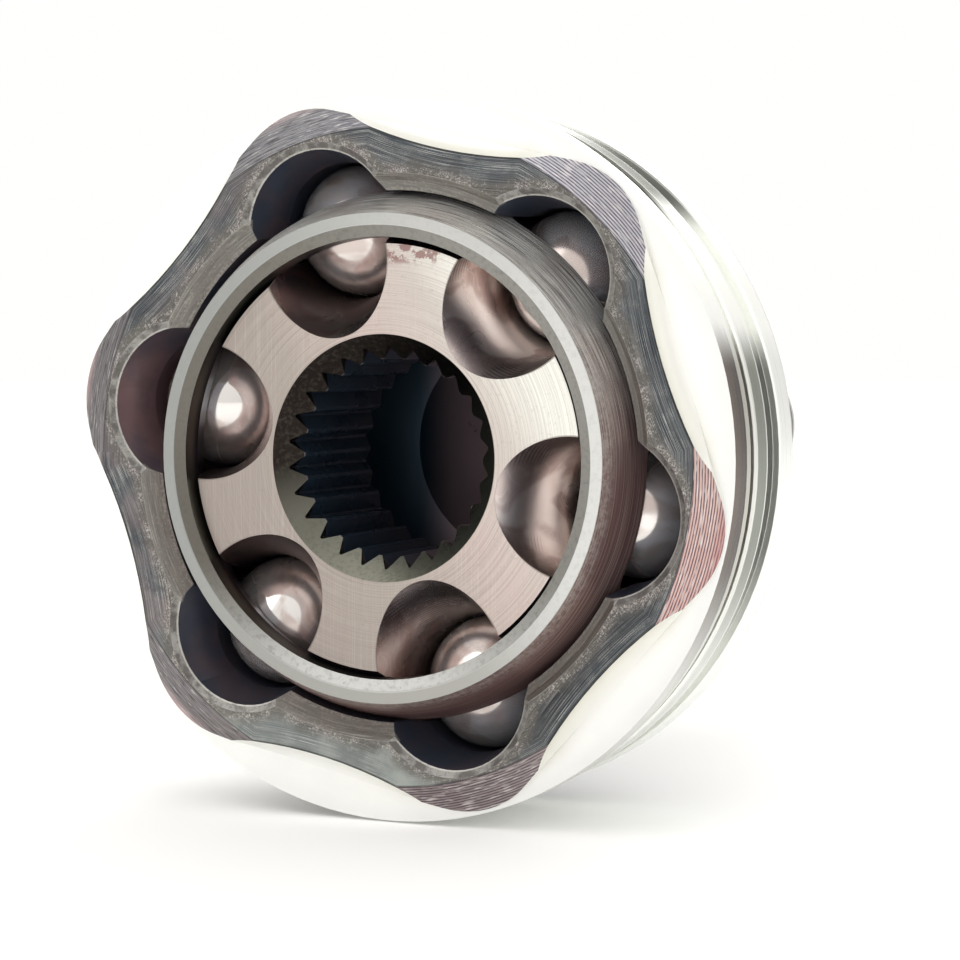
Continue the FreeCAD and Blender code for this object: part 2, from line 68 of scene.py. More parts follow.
class Field:
    """A value that varies over a surface: a socket of a node tree that can be reckoned with."""

    def __init__(self, tree, socket):
        self.tree = tree
        self.socket = socket

    def calculate(self, operation, *others, clamp=False):
        node = self.tree.nodes.new("ShaderNodeMath")
        node.operation = operation
        node.use_clamp = clamp
        for index, item in enumerate((self, *others)):
            put(self.tree, node.inputs[index], item)
        return Field(self.tree, node.outputs[0])

    def __add__(self, other):
        return self.calculate("ADD", other)

    def __sub__(self, other):
        return self.calculate("SUBTRACT", other)

    def __mul__(self, other):
        return self.calculate("MULTIPLY", other)

    def __truediv__(self, other):
        return self.calculate("DIVIDE", other)

    def __neg__(self):
        return self * -1.0

    def inverted(self):
        """One less the value, the other side of a mask."""
        return (self * -1.0) + 1.0

    def size(self):
        return self.calculate("ABSOLUTE")

    def root(self):
        return self.calculate("SQRT")

    def least(self, other):
        return self.calculate("MINIMUM", other)

    def most(self, other):
        return self.calculate("MAXIMUM", other)

    def wave(self, period):
        """Zero to one and back over each period."""
        return (self * (2 * math.pi / period)).calculate("SINE") * 0.5 + 0.5

    def saw(self, period):
        """A slope from zero to one over each period."""
        return (self * (1 / period)).calculate("FRACT")

    def over(self, edge, soft=0.05):
        """One where the value is above the edge, with a soft change."""
        return self.rescaled(edge - soft, edge + soft, 0.0, 1.0)

    def within(self, low, high, soft=0.05):
        return self.over(low, soft) * self.over(high, soft).inverted()

    def clamped(self):
        return self.calculate("ADD", 0.0, clamp=True)

    def share(self, low, high):
        """Straight slope from zero at one end to one at the other."""
        return ((self - low) / (high - low)).clamped()

    def rescaled(self, from_low, from_high, to_low, to_high):
        node = self.tree.nodes.new("ShaderNodeMapRange")
        node.interpolation_type = "SMOOTHSTEP"
        put(self.tree, node.inputs["Value"], self)
        put(self.tree, node.inputs["From Min"], from_low)
        put(self.tree, node.inputs["From Max"], from_high)
        put(self.tree, node.inputs["To Min"], to_low)
        put(self.tree, node.inputs["To Max"], to_high)
        return Field(self.tree, node.outputs["Result"])


def put(tree, socket, item):
    """Feed a socket with a field, or set it to a number, a vector or a colour."""
    if isinstance(item, Field):
        tree.links.new(item.socket, socket)
    elif socket.type == "RGBA":
        socket.default_value = (*item, 1.0)
    else:
        socket.default_value = item


class Finish:
    """A metal finish under construction. Its places are in millimetres from the joint centre."""

    def __init__(self, name):
        self.material = bpy.data.materials.new(name)
        self.material.use_nodes = True
        self.tree = self.material.node_tree
        self.tree.nodes.clear()
        output = self.tree.nodes.new("ShaderNodeOutputMaterial")
        self.shader = self.tree.nodes.new("ShaderNodeBsdfPrincipled")
        self.tree.links.new(self.shader.outputs[0], output.inputs["Surface"])
        place = self.tree.nodes.new("ShaderNodeTexCoord")
        split = self.tree.nodes.new("ShaderNodeSeparateXYZ")
        self.tree.links.new(place.outputs["Object"], split.inputs[0])
        self.metres = Field(self.tree, place.outputs["Object"])
        self.x = Field(self.tree, split.outputs[0]) * MM
        self.y = Field(self.tree, split.outputs[1]) * MM
        self.z = Field(self.tree, split.outputs[2]) * MM
        self.radius = (self.x * self.x + self.z * self.z).root()
        self.reach = (self.radius * self.radius + self.y * self.y).root()
        self.angle = self.z.calculate("ARCTAN2", self.x) * (180 / math.pi)

    def place(self, x, y, z):
        """A point made of three fields, for a pattern to be read at."""
        node = self.tree.nodes.new("ShaderNodeCombineXYZ")
        for index, item in enumerate((x, y, z)):
            put(self.tree, node.inputs[index], item)
        return Field(self.tree, node.outputs[0])

    def noise(self, at, scale, detail, roughness=0.5, distortion=0.0):
        node = self.tree.nodes.new("ShaderNodeTexNoise")
        put(self.tree, node.inputs["Vector"], at)
        node.inputs["Scale"].default_value = scale
        node.inputs["Detail"].default_value = detail
        node.inputs["Roughness"].default_value = roughness
        node.inputs["Distortion"].default_value = distortion
        return Field(self.tree, node.outputs[0])

    def grain(self, along, across, stretch, detail):
        """Streaks that run along one coordinate and change across the other."""
        return self.noise(self.place(along * stretch, across, 0.0), 1.0, detail)

    def mix(self, share, first, second):
        node = self.tree.nodes.new("ShaderNodeMix")
        node.data_type = "RGBA"
        put(self.tree, node.inputs["Factor"], share)
        put(self.tree, node.inputs[6], first)
        put(self.tree, node.inputs[7], second)
        return Field(self.tree, node.outputs[2])

    def layers(self, base, *layers):
        """A colour with (mask, colour) pairs laid over it, one after the other."""
        for mask, colour in layers:
            base = self.mix(mask, base, colour)
        return base

    def blend(self, share, first, second):
        """Numbers in the same way as colours."""
        node = self.tree.nodes.new("ShaderNodeMix")
        node.data_type = "FLOAT"
        put(self.tree, node.inputs["Factor"], share)
        put(self.tree, node.inputs[2], first)
        put(self.tree, node.inputs[3], second)
        return Field(self.tree, node.outputs[0])

    def ramp(self, value, stops):
        """Colour that follows a value through (position, colour) stops."""
        node = self.tree.nodes.new("ShaderNodeValToRGB")
        band = node.color_ramp
        while len(band.elements) < len(stops):
            band.elements.new(0.5)
        for element, (position, colour) in zip(band.elements, stops):
            element.position = position
            element.color = (*colour, 1.0)
        put(self.tree, node.inputs[0], value)
        return Field(self.tree, node.outputs[0])

    def relief(self, height_mm):
        """Bump from a height field in millimetres."""
        node = self.tree.nodes.new("ShaderNodeBump")
        node.inputs["Strength"].default_value = 1.0
        node.inputs["Distance"].default_value = 1 / MM
        put(self.tree, node.inputs["Height"], height_mm)
        self.tree.links.new(node.outputs[0], self.shader.inputs["Normal"])

    def set(self, **inputs):
        for name, item in inputs.items():
            put(self.tree, self.shader.inputs[name.replace("_", " ")], item)

    def dress(self, *nodes):
        """Give the finish to CAD nodes."""
        for name in nodes:
            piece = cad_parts[name]
            piece.data.materials.clear()
            piece.data.materials.append(self.material)


def length(name, description, default):
    return bpy.props.FloatProperty(name=name, description=description, default=default, unit="LENGTH")


def direction(name, description, degrees):
    return bpy.props.FloatProperty(
        name=name, description=description, default=math.radians(degrees), unit="ROTATION")


def strength(name, description, default):
    return bpy.props.FloatProperty(name=name, description=description, default=default, min=0.0)


def tone(name, description, default):
    return bpy.props.FloatVectorProperty(
        name=name, description=description, subtype="COLOR", default=default, min=0.0, max=1.0)


class JointSizes(bpy.types.PropertyGroup):
    """Where the surfaces of the joint change from one finish to the next."""

    nose_front: length("Nose front", "Height of the nose's front plane along the axis", race_low.y)
    cage_front: length("Cage front", "Height of the cage's front face along the axis", cage_low.y)
    hub_front: length("Hub front", "Height of the inner race's front face along the axis", hub_low.y)
    hub_back: length("Hub back", "Height of the inner race's back face along the axis", hub_high.y)
    track_phase: direction("Track phase", "Direction of the first track, from +X towards +Z", 47.7)
    mouth_edge: length("Mouth edge", "Radius where the mouth's chamfer meets the nose", 0.03461)
    mouth_chamfer: length("Mouth chamfer", "Width of the mouth's chamfer", 0.002)
    pocket_reach: length("Pocket reach", "Joint axis to the middle of a track's entry pocket", 0.0293)
    pocket_radius: length("Pocket radius", "Radius of the entry pocket with its edge break", 0.0106)
    pocket_break: length("Pocket break", "Width of the edge break round the entry pocket", 0.0009)
    crest_foot: length("Crest foot", "Radius where the crest chamfer starts", 0.04021)
    shoulder_radius: length("Shoulder radius", "Radius of the shoulder behind the nose", 0.0447)
    shoulder_drop: length("Shoulder drop", "Nose front plane down to the shoulder", 0.0016)
    flute_reach: length("Flute reach", "Joint axis to the middle of a flute's arc", 0.09931)
    flute_radius: length("Flute radius", "Radius of a flute's arc", 0.06131)
    socket_reach: length("Socket reach", "Joint centre to just outside the socket", 0.036)
    bell_reach: length("Bell reach", "Joint centre to just inside the bell's skin", 0.0436)
    bell_front: length("Bell front", "Where the bell's plain skin starts along the axis", 0.0096)
    seat_length: length("Seat length", "Length of the boot seat behind the shoulder", 0.0225)
    seat_floor: length("Seat floor", "Radius just below the boot seat's deepest groove", 0.0426)
    bowl_front: length("Bowl front", "Where the grease bowl starts along the axis", 0.015)
    bowl_radius: length("Bowl radius", "Radius of the grease bowl", 0.024)
    shaft_front: length("Shaft front", "Where the ground stub shaft starts along the axis", 0.038)
    spline_front: length("Spline front", "Where the shaft's spline starts along the axis", 0.0511)
    spline_back: length("Spline back", "Where the shaft's spline ends along the axis", 0.0919)
    spline_root: length("Spline root", "Radius halfway down the shaft's spline teeth", 0.0136)
    thread_front: length("Thread front", "Where the axle thread starts along the axis", 0.0921)
    thread_back: length("Thread back", "Where the axle thread ends along the axis", 0.111)
    thread_root: length("Thread root", "Radius just below the axle thread's surface", 0.0115)
    thread_pitch: length("Thread pitch", "Pitch of the axle thread", 0.0015)
    cage_radius: length("Cage radius", "Outer sphere of the ball cage", cage_high.x)
    cage_mouth: length("Cage mouth", "Radius where the cage's front face starts", 0.0286)
    cage_chamfer: length("Cage chamfer", "Depth just past the chamfer inside the cage's front face", 0.00066)
    hub_radius: length("Hub radius", "Outer sphere of the inner race", 0.02945)
    bore_edge: length("Bore edge", "Radius where the bore's chamfer meets the hub's face", 0.0151)
    bore_chamfer: length("Bore chamfer", "Depth just past the bore's chamfer", 0.0029)
    spline_floor: length("Spline floor", "Radius at the root of the bore's spline", 0.01365)
    groove_reach: length("Groove reach", "Joint axis to the middle of a groove's mouth in the face", 0.02604)
    groove_half: length("Groove half width", "Half the width of a groove's mouth in the face", 0.00855)
    groove_height: length("Groove half height", "Half the height of a groove's mouth in the face", 0.00976)


class JointColours(bpy.types.PropertyGroup):
    """Base colours of the finishes."""

    forged: tone("Forged", "Blasted flanks of the nose and the bell", (0.93, 0.93, 0.90))
    nose: tone("Nose", "Trimmed front face of the nose", (0.075, 0.087, 0.10))
    land: tone("Land", "Speckled land beside the mouth and the tracks", (0.19, 0.175, 0.155))
    ring: tone("Ring", "Ground front face of the cage", (0.56, 0.56, 0.535))
    cage_skin: tone("Cage skin", "Temper colour of the cage's outer sphere", (0.15, 0.082, 0.076))
    # painted shade: the dark of the steel inside the tracks, where shade falls
    shade: tone("Shade", "Oiled dark metal inside the tracks", (0.05, 0.062, 0.095))
    ball: tone("Ball", "Polished bearing steel", (0.93, 0.89, 0.86))


class StudioSettings(bpy.types.PropertyGroup):
    """Floor, lights and camera."""

    camera_azimuth: direction("Camera azimuth", "Camera direction round the joint, from -Y towards +X", 24.9)
    camera_elevation: direction("Camera elevation", "Camera height as an angle over the horizon", 3.2)
    camera_distance: length("Camera distance", "Camera to joint centre", 0.3283)
    camera_right: length("Camera right", "How far the camera stands to the right of the joint", 0.0062)
    camera_down: length("Camera down", "How far the camera hangs below the joint's line", 0.0033)
    lens: bpy.props.FloatProperty(
        name="Lens", description="Focal length for a 36 mm sensor, in millimetres", default=97.5)
    floor_gap: length("Floor gap", "How far the floor lies below the joint", 0.0002)
    floor_reach: length("Floor reach", "Radius of the floor", 3.0)
    floor_glow: strength("Floor glow", "Light that the lit floor sends up by itself", 0.12)
    sky: strength("Sky", "Brightness of the studio round the joint", 1.0)


def sizes():
    return bpy.context.scene.joint_sizes


def colours():
    return bpy.context.scene.joint_colours


def fold_to_lobe(finish, phase):
    """Places in one half of a lobe, with the lobe's middle along the first coordinate, in millimetres."""
    step = 360 / LOBES
    turned_angle = finish.angle + (step / 2 - math.degrees(phase))
    folded = (turned_angle.calculate("FLOORED_MODULO", step) - step / 2).size() * (math.pi / 180)
    return finish.radius * folded.calculate("COSINE"), finish.radius * folded.calculate("SINE")


def gap_to(along, across, centre_along, centre_across, radius):
    """How far a place lies outside a circle."""
    first = along - centre_along
    second = across - centre_across
    return (first * first + second * second).root() - radius


class FinishOuterRace(bpy.types.Operator):
    """Give the outer race its trimmed nose, turned crests, blasted flutes, boot seat and ground shaft"""

    bl_idname = "cvjoint.finish_outer_race"
    bl_label = "Finish outer race"

    def execute(self, context):
        size = sizes()
        colour = colours()
        metal = Finish("outer_race_steel")
        depth = metal.y - size.nose_front * MM
        along, across = fold_to_lobe(metal, size.track_phase)
        half = math.pi / LOBES
        drop = size.shoulder_drop * MM
        chamfer = size.mouth_chamfer * MM
        pocket_break = size.pocket_break * MM
        crest_width = (size.shoulder_radius - size.crest_foot) * MM

        # How far a place lies outside the nose's inner outlines and inside its outer ones
        pocket_gap = gap_to(along, across, size.pocket_reach * MM, 0.0, size.pocket_radius * MM)
        land_gap = metal.radius - size.mouth_edge * MM
        hollow = (size.flute_reach * MM * math.cos(half), size.flute_reach * MM * math.sin(half))
        flute_gap = gap_to(along, across, *hollow, size.flute_radius * MM)
        crest_gap = -(metal.radius - size.crest_foot * MM)
        outer_gap = crest_gap.least(flute_gap)
        inner_gap = pocket_gap.least(land_gap)
        cone_gap = crest_gap + depth * (crest_width / drop)

        # Masks: one where a finish lies, zero elsewhere
        on_nose = depth.over(0.08, 0.03).inverted()
        on_break = pocket_gap.within(-pocket_break - 0.02, 0.04, 0.03) * depth.over(0.62, 0.03).inverted()
        on_mouth = land_gap.within(-chamfer - 0.06, 0.03, 0.03) * depth.over(chamfer + 0.05, 0.03).inverted()
        on_mouth = on_mouth * pocket_gap.over(-pocket_break, 0.03)
        on_crest = cone_gap.size().over(0.12, 0.04).inverted() * crest_gap.over(0.05, 0.03).inverted()
        on_crest = on_crest * depth.over(drop - 0.02, 0.02).inverted()
        in_pocket = pocket_gap.over(-0.6, 0.05).inverted() * depth.over(0.5, 0.05)
        in_pocket = in_pocket * metal.reach.over(size.bell_reach * MM, 0.2).inverted()
        inside = metal.reach.over(size.socket_reach * MM).inverted().most(in_pocket)
        seat = depth - drop
        on_seat = seat.within(0.03, size.seat_length * MM, 0.03) * metal.radius.over(size.seat_floor * MM)
        on_shaft = metal.y.over(size.shaft_front * MM)

        speckle = metal.noise(metal.metres, 2600.0, 4.0, 0.7)
        cloud = metal.noise(metal.metres, 160.0, 4.0)
        patch = metal.noise(metal.metres, 420.0, 4.0, 0.6)
        leftward = metal.x.rescaled(-34.0, 6.0, 1.0, 0.0)
        downward = metal.z.rescaled(-40.0, 0.0, 1.0, 0.0)

        # Nose: dark streaks that follow its outline, a beige speckled land inside, a painted highlight line
        # along its inner edges, a thin dark outer line
        streak = metal.grain(metal.angle, outer_gap * 7.0, stretch=0.03, detail=7.0)
        fine = metal.grain(metal.angle, outer_gap * 24.0, stretch=0.07, detail=5.0)
        grit = metal.noise(metal.metres, 5200.0, 3.0, 0.7)
        scratched = fine.rescaled(0.55, 0.64, 0.0, 0.9) * patch.rescaled(0.40, 0.56, 0.15, 1.0)
        at_bottom = downward * metal.angle.within(-140.0, -72.0, 14.0)
        lower_right = metal.angle.within(-72.0, -22.0, 10.0) * outer_gap.over(1.0, 1.0)
        nose = metal.layers(
            colour.nose,
            (streak.rescaled(0.40, 0.62, 0.0, 1.0), (0.18, 0.185, 0.185)),
            (fine.rescaled(0.40, 0.50, 0.85, 0.0), (0.028, 0.03, 0.036)),
            (scratched, (0.60, 0.60, 0.57)),
            (at_bottom * cloud.rescaled(0.35, 0.6, 0.35, 0.8), (0.42, 0.45, 0.42)),
            (lower_right * 0.55, (0.035, 0.035, 0.038)),
            (leftward * cloud.rescaled(0.40, 0.6, 0.0, 0.35), (0.26, 0.20, 0.20)))
        speckled = speckle.rescaled(0.54, 0.64, 0.0, 0.85) * patch.rescaled(0.4, 0.55, 0.3, 1.0)
        land = metal.layers(
            colour.land,
            (streak.rescaled(0.42, 0.60, 0.0, 0.7), (0.09, 0.08, 0.073)),
            (grit.rescaled(0.50, 0.64, 0.0, 0.35), (0.06, 0.055, 0.05)),
            (speckled, (0.62, 0.60, 0.55)),
            (patch.rescaled(0.46, 0.62, 0.0, 0.5), (0.25, 0.19, 0.18)),
            (fine.rescaled(0.38, 0.48, 0.6, 0.0), (0.05, 0.045, 0.042)))
        ragged = (patch - 0.5) * 2.6
        on_land = (inner_gap + ragged).over(1.1, 0.9).inverted()
        # painted highlight: a bright speckled line just outside the land, where the nose meets the mouth's
        # chamfer and the pockets
        edge_highlight = (inner_gap + ragged * 0.3).within(-0.1, 0.9, 0.5) * grit.over(0.53, 0.05)
        edge_highlight = edge_highlight * patch.rescaled(0.44, 0.56, 0.15, 1.0) * fine.rescaled(0.4, 0.55, 0.3, 1.0)
        nose = metal.layers(
            nose,
            (on_land * 0.8, land),
            (edge_highlight * 0.7, (0.55, 0.54, 0.50)),
            (outer_gap.over(0.16, 0.12).inverted() * 0.75, (0.03, 0.03, 0.032)))

        # Edge break of the pockets, lightened by painted highlight and with a brighter painted highlight
        # line, and the mouth's chamfer with its scratches and a painted highlight line at its inner edge
        # painted highlight: the edge break's light base and this bright line stand for light caught on the
        # pocket's edge
        pocket_edge_highlight = pocket_gap.within(-pocket_break, -0.66, 0.05) * speckle.rescaled(0.36, 0.5, 0.2, 1.0)
        edge = metal.layers(
            (0.34, 0.33, 0.31),
            (patch.rescaled(0.40, 0.60, 0.0, 0.85), (0.12, 0.11, 0.105)),
            (speckle.rescaled(0.52, 0.66, 0.0, 0.5), (0.07, 0.065, 0.06)),
            (pocket_edge_highlight * 0.8, (0.52, 0.51, 0.47)))
        scratch = metal.grain(metal.angle, land_gap * 7.0 + metal.x * 0.2, stretch=0.12, detail=5.0)
        # painted highlight: a bright speckled line along the inner edge of the mouth's chamfer
        mouth_edge_highlight = (land_gap + ragged * 0.2).within(-chamfer, -chamfer + 0.35, 0.1)
        mouth = metal.layers(
            land,
            (0.55, (0.43, 0.425, 0.39)),
            (scratch.rescaled(0.54, 0.68, 0.0, 0.5), (0.62, 0.61, 0.57)),
            (scratch.rescaled(0.34, 0.44, 0.4, 0.0), (0.12, 0.10, 0.10)),
            (mouth_edge_highlight * speckle.over(0.5, 0.06) * 0.7, (0.55, 0.53, 0.49)))

        # Crests: concentric tool lines on the right and plain streaked grey on the left, over painted
        # reflection colours that change round the joint
        ring = (metal.radius + metal.noise(metal.metres, 140.0, 3.0) * 0.3).wave(0.31)
        wear = metal.grain(metal.angle, metal.radius * 5.0, stretch=0.3, detail=6.0)
        # painted reflection: the crests' colours follow the direction round the joint, as the surroundings
        # mirrored in them do
        reflection_tint = metal.ramp(metal.angle.share(-180.0, 180.0), [
            (0.00, (0.15, 0.13, 0.135)), (0.12, (0.14, 0.125, 0.13)), (0.22, (0.22, 0.17, 0.17)),
            (0.33, (0.34, 0.29, 0.28)), (0.43, (0.60, 0.38, 0.35)), (0.51, (0.64, 0.47, 0.43)),
            (0.58, (0.52, 0.51, 0.55)), (0.68, (0.47, 0.47, 0.51)), (0.75, (0.16, 0.165, 0.18)),
            (0.90, (0.14, 0.13, 0.14)), (1.00, (0.15, 0.13, 0.135))])
        plain = metal.layers(
            reflection_tint,
            (streak.rescaled(0.40, 0.62, 0.0, 0.9), (0.26, 0.25, 0.25)),
            (wear.rescaled(0.36, 0.46, 0.7, 0.0), (0.05, 0.045, 0.05)),
            (wear.rescaled(0.60, 0.68, 0.0, 0.7), (0.55, 0.54, 0.52)))
        tool_lines = ring.rescaled(0.35, 0.75, 0.0, 0.95) * wear.rescaled(0.3, 0.6, 0.6, 1.0)
        red_band = crest_gap.rescaled(-4.3, -2.6, 0.6, 0.0) * metal.angle.within(-38.0, 8.0, 6.0)
        lined = metal.layers(
            reflection_tint,
            (tool_lines, (0.07, 0.055, 0.08)),
            (wear.rescaled(0.52, 0.66, 0.0, 0.55), (0.86, 0.80, 0.78)),
            (red_band, (0.36, 0.13, 0.13)))
        grey_side = metal.angle.size().over(96.0, 10.0)
        # painted reflection: pink towards the outer edge of the crests on the left
        left_edge_reflection = crest_gap.rescaled(-4.4, -2.8, 1.0, 0.0) * leftward
        crest = metal.layers(lined, (grey_side, plain), (left_edge_reflection * 0.75, (0.60, 0.43, 0.43)))

        # Boot seat: turned bands from the shoulder back, fading to white by painted light above and below
        turn_line = metal.grain(metal.angle, metal.y * 12.0, stretch=0.012, detail=6.0)
        front_land = metal.ramp(seat.share(0.0, 24.0), [
            (0.00, (0.11, 0.075, 0.055)), (0.10, (0.06, 0.04, 0.03)), (0.17, (0.035, 0.022, 0.017))])
        bands = [(seat.over(start, soft), band_tone) for start, soft, band_tone in SEAT_BANDS]
        in_bands = (SEAT_BANDS_START, SEAT_BANDS_END)
        streaked = metal.angle.within(42.0, 66.0, 6.0) * seat.within(*in_bands, 0.3)
        front_side = metal.angle.size().over(100.0, 12.0).inverted()
        # painted light: the seat turns white in the directions round the joint where light blows it out
        washed_out_light = metal.angle.rescaled(-40.0, -12.0, 0.8, 0.0) + metal.angle.within(19.0, 43.0, 5.0) * 1.3
        washed_out_light = washed_out_light + metal.angle.over(43.0, 4.0) * seat.within(*in_bands).inverted()
        washed_out_light = (washed_out_light + metal.angle.over(64.0, 8.0) * 0.8) * front_side
        washed_out_light = washed_out_light * turn_line.rescaled(0.35, 0.6, 1.1, 0.75)
        seat_tone = metal.layers(
            front_land,
            *bands,
            (turn_line.rescaled(0.54, 0.68, 0.0, 0.22), (0.62, 0.63, 0.59)),
            (turn_line.rescaled(0.32, 0.44, 0.45, 0.0), (0.08, 0.07, 0.06)),
            (streaked * turn_line.rescaled(0.3, 0.6, 1.0, 0.4), (0.05, 0.055, 0.035)),
            (washed_out_light.clamped(), (0.98, 0.99, 0.95)))

        # Bell: blasted flutes in front with a painted cream highlight near the nose on the right and painted
        # shade near the shoulder's edge, plain forged skin behind the seat
        # painted highlight: cream near the nose's edge on the right-hand flutes
        nose_edge_highlight = outer_gap.rescaled(-3.0, 0.0, 0.0, 1.0) * metal.x.over(0.0, 12.0)
        # painted shade: grey near the shoulder's edge, laid on away from the left
        rim_shade = metal.radius.rescaled(42.0, size.shoulder_radius * MM, 0.0, 1.0)
        rim_shade = rim_shade * depth.over(3.0).inverted()
        bell_tone = metal.layers(
            (0.50, 0.50, 0.50),
            (cloud.rescaled(0.3, 0.75, 0.0, 1.0), (0.36, 0.36, 0.37)),
            (speckle.rescaled(0.45, 0.65, 0.0, 0.5), (0.22, 0.22, 0.22)))
        forged = metal.layers(
            colour.forged,
            (cloud.rescaled(0.3, 0.75, 0.0, 0.3), (0.84, 0.84, 0.83)),
            (nose_edge_highlight * 0.4, (0.66, 0.64, 0.52)),
            (rim_shade * 0.25 * leftward.inverted(), (0.66, 0.66, 0.68)),
            (metal.y.over(size.bell_front * MM, 0.1), bell_tone))

        # Tracks and grease bowl: dark with painted shade inside the race, with warmer painted light on the
        # far left and on the bowl's right
        far_left_light = metal.x.rescaled(-38.0, -29.0, 1.0, 0.0)
        in_bowl = metal.y.over(size.bowl_front * MM, 1.0)
        in_bowl = in_bowl * metal.radius.over(size.bowl_radius * MM, 1.0).inverted()
        # painted light on the bowl's right, painted shade on the rest of it
        bowl_right_light = metal.x.rescaled(-15.0, -7.0, 0.0, 1.0)
        bowl_tone = metal.mix(bowl_right_light, (0.012, 0.038, 0.065), (0.36, 0.26, 0.29))
        track = metal.layers(
            colour.shade,
            (cloud.rescaled(0.4, 0.7, 0.0, 0.5), (0.13, 0.085, 0.09)),
            (far_left_light * cloud.rescaled(0.3, 0.6, 0.4, 1.0), (0.22, 0.14, 0.15)),
            (in_bowl, bowl_tone))

        # Stub shaft: ground journal, spline and thread, with painted shade in the spaces between the teeth
        # and the turns
        on_spline = metal.y.within(size.spline_front * MM, size.spline_back * MM)
        # painted shade: dark between the spline's teeth
        spline_space_shade = on_spline * metal.radius.over(size.spline_root * MM, 0.3).inverted()
        pitch = size.thread_pitch * MM
        thread_turn = metal.y + metal.angle * (pitch / 360.0)
        groove = (thread_turn.saw(pitch) - 0.5).size() * 2.0
        on_thread = metal.y.within(size.thread_front * MM, size.thread_back * MM)
        on_thread = on_thread * metal.radius.over(size.thread_root * MM)
        shaft = metal.layers(
            (0.62, 0.62, 0.61),
            (turn_line.rescaled(0.35, 0.7, 0.0, 0.7), (0.36, 0.36, 0.36)),
            (spline_space_shade * 0.8, (0.10, 0.10, 0.10)),
            # painted shade: dark in the thread's groove
            (on_thread * groove.over(0.55, 0.3) * 0.85, (0.12, 0.12, 0.12)))

        skin = metal.layers(
            forged,
            (on_nose, nose),
            (on_crest, crest),
            (on_seat, seat_tone),
            (on_shaft, shaft),
            (inside, track),
            (on_break, edge),
            (on_mouth, mouth))
        rough = metal.blend(on_nose, 0.5, 0.42)
        for mask, area_roughness in ((on_crest, 0.32), (on_seat, 0.36), (on_shaft, 0.3), (inside, 0.3)):
            rough = metal.blend(mask, rough, area_roughness)
        rough = rough + (cloud - 0.5) * 0.12
        height = (speckle - 0.5) * inside.inverted() * 0.02 + (streak - 0.5) * on_nose * 0.02
        height = height - ring * on_crest * 0.02 + (turn_line - 0.5) * on_seat * 0.02
        height = height - on_thread * groove * 0.45
        metal.relief(height)
        metal.set(Base_Color=skin, Roughness=rough, Metallic=metal.blend(inside, 1.0, 0.45))
        metal.dress("outer_race")
        return {"FINISHED"}


class FinishCage(bpy.types.Operator):
    """Give the ball cage its ground front ring, brown turned sphere and dark bore"""

    bl_idname = "cvjoint.finish_cage"
    bl_label = "Finish ball cage"

    def execute(self, context):
        size = sizes()
        colour = colours()
        metal = Finish("ball_cage_steel")
        depth = metal.y - size.cage_front * MM
        on_ring = depth.over(0.06, 0.02).inverted()
        on_chamfer = depth.within(0.06, size.cage_chamfer * MM, 0.03)
        on_chamfer = on_chamfer * metal.radius.over(size.cage_mouth * MM, 0.1).inverted()
        on_sphere = metal.reach.over(size.cage_radius * MM - 0.15, 0.05) * on_ring.inverted()
        lathe = metal.grain(metal.angle, metal.y * 9.0, stretch=0.02, detail=6.0)
        scratch = metal.grain(metal.angle, metal.y * 22.0 + metal.z * 0.8, stretch=0.06, detail=5.0)
        cloud = metal.noise(metal.metres, 120.0, 4.0)
        scuff = metal.noise(metal.metres, 1500.0, 5.0, 0.65)
        upward = metal.z.rescaled(-4.0, 24.0, 0.0, 1.0)
        leftward = metal.x.rescaled(-26.0, 14.0, 1.0, 0.0)

        # wear and painted highlight: light and dark scratches laid only on the top of the sphere, where the
        # light falls
        scratches_and_highlight = metal.mix(scratch.rescaled(0.43, 0.57, 0.0, 1.0), (0.035, 0.034, 0.036), (0.95, 0.94, 0.89))
        first_band = depth.over(1.6, 1.0).inverted() * scuff.rescaled(0.4, 0.6, 0.1, 0.6)
        sphere = metal.layers(
            colour.cage_skin,
            (lathe.rescaled(0.48, 0.62, 0.0, 0.8), (0.34, 0.255, 0.235)),
            (lathe.rescaled(0.30, 0.44, 0.7, 0.0), (0.07, 0.04, 0.038)),
            (upward * cloud.rescaled(0.25, 0.6, 0.55, 1.0), scratches_and_highlight),
            (first_band * 0.5, (0.62, 0.58, 0.54)))
        # painted light and shade: the ring darker on the left and at the bottom, lighter on the right
        ring_tone = metal.layers(
            colour.ring,
            (leftward * 0.95, (0.32, 0.33, 0.32)),
            (metal.z.rescaled(-28.0, -8.0, 0.75, 0.0), (0.36, 0.355, 0.33)),
            (metal.x.rescaled(12.0, 29.0, 0.0, 0.7), (0.72, 0.72, 0.70)),
            (scuff.rescaled(0.45, 0.7, 0.0, 0.25), (0.40, 0.40, 0.38)))
        # painted light and shade: the chamfer darker on the left and lighter at the bottom
        chamfer = metal.layers(
            (0.25, 0.245, 0.225),
            (leftward, (0.16, 0.15, 0.13)),
            (metal.z.rescaled(-27.0, -12.0, 0.9, 0.0), (0.42, 0.42, 0.40)),
            (scuff.rescaled(0.45, 0.7, 0.0, 0.4), (0.12, 0.115, 0.10)))
        # painted shade: the cage's bore dark navy, with a painted highlight band just behind the front on the
        # left
        wall_shade_and_highlight = metal.layers(
            (0.055, 0.055, 0.08),
            (cloud.rescaled(0.35, 0.7, 0.0, 0.8), (0.14, 0.11, 0.12)),
            (depth.within(0.4, 2.6, 0.8) * leftward, (0.30, 0.30, 0.26)))
        skin = metal.layers(wall_shade_and_highlight, (on_sphere, sphere), (on_ring, ring_tone), (on_chamfer, chamfer))
        rough = metal.blend(on_sphere, 0.32, 0.34) + (cloud - 0.5) * 0.12
        rough = metal.blend(on_ring, rough, 0.42)
        metal.relief((lathe - 0.5) * on_sphere * 0.02 + (scuff - 0.5) * 0.008)
        metal.set(Base_Color=skin, Roughness=rough, Metallic=metal.blend(on_sphere, 1.0, 0.4))
        metal.dress("ball_cage")
        return {"FINISHED"}


